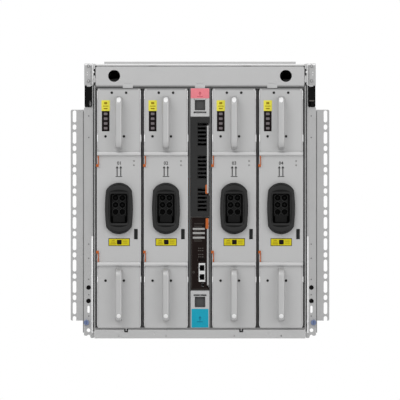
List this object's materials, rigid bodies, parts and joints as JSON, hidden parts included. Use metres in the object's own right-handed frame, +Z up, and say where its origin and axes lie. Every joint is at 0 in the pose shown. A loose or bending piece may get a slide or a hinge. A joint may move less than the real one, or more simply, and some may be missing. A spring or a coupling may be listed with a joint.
{
  "type": "blade server chassis",
  "caption": "Tall rack chassis with upright power stations at the rear, a vented centre column with water ports, and upright tray bays at the front.",
  "frame": {"origin": "centre of the footprint on the ground under the chassis", "axes": "+Z up, -Y out of the rear face with the power inlets, +Y out of the tray openings, +X to the right seen from the rear"},
  "size_m": [0.5394, 1.302, 0.577],
  "materials": {
    "sheet_steel": "satin",
    "bright_steel": "satin",
    "galvanised": "satin",
    "dark_sheet": "matte",
    "black_plastic": "matte",
    "dark_plastic": "satin",
    "black_face": "satin",
    "orange_plastic": "satin",
    "blue_plastic": "satin",
    "grip_metal": "satin",
    "jack_metal": "satin",
    "copper": "satin",
    "manifold_steel": "satin",
    "lever_metal": "satin"
  },
  "bodies": {
    "chassis": {"side_left": "sheet_steel", "side_right": "sheet_steel", "floor_pan": "galvanised", "top_cover": "sheet_steel", "top_fascia": "sheet_steel", "bottom_sill": "sheet_steel", "rear_guides": "dark_sheet", "center_column": "dark_sheet", "bay_dividers": "galvanised", "front_rails": "sheet_steel", "bulkhead": "galvanised", "bus_bars": "copper", "supply_manifold": "manifold_steel", "return_manifold": "manifold_steel", "couplings": "bright_steel", "ear_left": "galvanised", "ear_right": "galvanised", "flange_left": "galvanised", "flange_right": "galvanised", "black_trim": "black_plastic", "hot_block": "sheet_steel", "cold_block": "sheet_steel"},
    "vent_unit": {"vent_module": "galvanised", "vent_face": "dark_plastic"},
    "vent_lever_body": {"vent_lever": "lever_metal"},
    "mgmt_unit": {"mgmt_module": "galvanised", "mgmt_face": "black_face", "mgmt_jacks": "jack_metal"},
    "mgmt_lever_body": {"mgmt_lever": "lever_metal"},
    "knob_left_body": {"knob_left": "blue_plastic"},
    "knob_right_body": {"knob_right": "blue_plastic"},
    "station1": {"station1_case": "sheet_steel", "station1_grips": "grip_metal", "station1_inlet": "dark_plastic"},
    "station1_lever_upper_body": {"station1_lever_upper": "bright_steel"},
    "station1_lever_lower_body": {"station1_lever_lower": "bright_steel"},
    "station1_latch_upper_body": {"station1_latch_upper": "orange_plastic"},
    "station1_latch_lower_body": {"station1_latch_lower": "orange_plastic"},
    "station2": {"station2_case": "sheet_steel", "station2_grips": "grip_metal", "station2_inlet": "dark_plastic"},
    "station2_lever_upper_body": {"station2_lever_upper": "bright_steel"},
    "station2_lever_lower_body": {"station2_lever_lower": "bright_steel"},
    "station2_latch_upper_body": {"station2_latch_upper": "orange_plastic"},
    "station2_latch_lower_body": {"station2_latch_lower": "orange_plastic"},
    "station3": {"station3_case": "sheet_steel", "station3_grips": "grip_metal", "station3_inlet": "dark_plastic"},
    "station3_lever_upper_body": {"station3_lever_upper": "bright_steel"},
    "station3_lever_lower_body": {"station3_lever_lower": "bright_steel"},
    "station3_latch_upper_body": {"station3_latch_upper": "orange_plastic"},
    "station3_latch_lower_body": {"station3_latch_lower": "orange_plastic"},
    "station4": {"station4_case": "sheet_steel", "station4_grips": "grip_metal", "station4_inlet": "dark_plastic"},
    "station4_lever_upper_body": {"station4_lever_upper": "bright_steel"},
    "station4_lever_lower_body": {"station4_lever_lower": "bright_steel"},
    "station4_latch_upper_body": {"station4_latch_upper": "orange_plastic"},
    "station4_latch_lower_body": {"station4_latch_lower": "orange_plastic"}
  },
  "joints": [
    {"name": "station1_slide", "type": "slide", "parent": "chassis", "child": "station1", "axis": [0, -1, 0], "range_m": [0, 0.4]},
    {"name": "station1_lever_upper_hinge", "type": "hinge", "parent": "station1", "child": "station1_lever_upper_body", "pos_m": [-0.169, -0.609, 0.508], "axis": [-1, 0, 0], "range_deg": [0, 80]},
    {"name": "station1_lever_lower_hinge", "type": "hinge", "parent": "station1", "child": "station1_lever_lower_body", "pos_m": [-0.169, -0.609, 0.0349], "axis": [1, 0, 0], "range_deg": [0, 80]},
    {"name": "station1_latch_upper_hinge", "type": "hinge", "parent": "station1", "child": "station1_latch_upper_body", "pos_m": [-0.2127, -0.619, 0.3597], "axis": [1, 0, 0], "range_deg": [0, 10], "stiffness_Nm_per_rad": 0.02},
    {"name": "station1_latch_lower_hinge", "type": "hinge", "parent": "station1", "child": "station1_latch_lower_body", "pos_m": [-0.2127, -0.619, 0.1807], "axis": [-1, 0, 0], "range_deg": [0, 10], "stiffness_Nm_per_rad": 0.02},
    {"name": "station2_slide", "type": "slide", "parent": "chassis", "child": "station2", "axis": [0, -1, 0], "range_m": [0, 0.4]},
    {"name": "station2_lever_upper_hinge", "type": "hinge", "parent": "station2", "child": "station2_lever_upper_body", "pos_m": [-0.071, -0.609, 0.508], "axis": [-1, 0, 0], "range_deg": [0, 80]},
    {"name": "station2_lever_lower_hinge", "type": "hinge", "parent": "station2", "child": "station2_lever_lower_body", "pos_m": [-0.071, -0.609, 0.0349], "axis": [1, 0, 0], "range_deg": [0, 80]},
    {"name": "station2_latch_upper_hinge", "type": "hinge", "parent": "station2", "child": "station2_latch_upper_body", "pos_m": [-0.1147, -0.619, 0.3597], "axis": [1, 0, 0], "range_deg": [0, 10], "stiffness_Nm_per_rad": 0.02},
    {"name": "station2_latch_lower_hinge", "type": "hinge", "parent": "station2", "child": "station2_latch_lower_body", "pos_m": [-0.1147, -0.619, 0.1807], "axis": [-1, 0, 0], "range_deg": [0, 10], "stiffness_Nm_per_rad": 0.02},
    {"name": "station3_slide", "type": "slide", "parent": "chassis", "child": "station3", "axis": [0, -1, 0], "range_m": [0, 0.4]},
    {"name": "station3_lever_upper_hinge", "type": "hinge", "parent": "station3", "child": "station3_lever_upper_body", "pos_m": [0.071, -0.609, 0.508], "axis": [-1, 0, 0], "range_deg": [0, 80]},
    {"name": "station3_lever_lower_hinge", "type": "hinge", "parent": "station3", "child": "station3_lever_lower_body", "pos_m": [0.071, -0.609, 0.0349], "axis": [1, 0, 0], "range_deg": [0, 80]},
    {"name": "station3_latch_upper_hinge", "type": "hinge", "parent": "station3", "child": "station3_latch_upper_body", "pos_m": [0.0273, -0.619, 0.3597], "axis": [1, 0, 0], "range_deg": [0, 10], "stiffness_Nm_per_rad": 0.02},
    {"name": "station3_latch_lower_hinge", "type": "hinge", "parent": "station3", "child": "station3_latch_lower_body", "pos_m": [0.0273, -0.619, 0.1807], "axis": [-1, 0, 0], "range_deg": [0, 10], "stiffness_Nm_per_rad": 0.02},
    {"name": "station4_slide", "type": "slide", "parent": "chassis", "child": "station4", "axis": [0, -1, 0], "range_m": [0, 0.4]},
    {"name": "station4_lever_upper_hinge", "type": "hinge", "parent": "station4", "child": "station4_lever_upper_body", "pos_m": [0.169, -0.609, 0.508], "axis": [-1, 0, 0], "range_deg": [0, 80]},
    {"name": "station4_lever_lower_hinge", "type": "hinge", "parent": "station4", "child": "station4_lever_lower_body", "pos_m": [0.169, -0.609, 0.0349], "axis": [1, 0, 0], "range_deg": [0, 80]},
    {"name": "station4_latch_upper_hinge", "type": "hinge", "parent": "station4", "child": "station4_latch_upper_body", "pos_m": [0.1253, -0.619, 0.3597], "axis": [1, 0, 0], "range_deg": [0, 10], "stiffness_Nm_per_rad": 0.02},
    {"name": "station4_latch_lower_hinge", "type": "hinge", "parent": "station4", "child": "station4_latch_lower_body", "pos_m": [0.1253, -0.619, 0.1807], "axis": [-1, 0, 0], "range_deg": [0, 10], "stiffness_Nm_per_rad": 0.02},
    {"name": "vent_slide", "type": "slide", "parent": "chassis", "child": "vent_unit", "axis": [0, -1, 0], "range_m": [0, 0.26]},
    {"name": "vent_lever_hinge", "type": "hinge", "parent": "vent_unit", "child": "vent_lever_body", "pos_m": [0.0162, -0.611, 0.4406], "axis": [-1, 0, 0], "range_deg": [0, 60]},
    {"name": "mgmt_slide", "type": "slide", "parent": "chassis", "child": "mgmt_unit", "axis": [0, -1, 0], "range_m": [0, 0.32]},
    {"name": "mgmt_lever_hinge", "type": "hinge", "parent": "mgmt_unit", "child": "mgmt_lever_body", "pos_m": [0.0162, -0.611, 0.1136], "axis": [1, 0, 0], "range_deg": [0, 60]},
    {"name": "knob_left_turn", "type": "hinge", "parent": "chassis", "child": "knob_left_body", "pos_m": [-0.23695, -0.611, 0.033], "axis": [0, -1, 0], "continuous": true},
    {"name": "knob_right_turn", "type": "hinge", "parent": "chassis", "child": "knob_right_body", "pos_m": [0.23695, -0.611, 0.033], "axis": [0, -1, 0], "continuous": true}
  ]
}
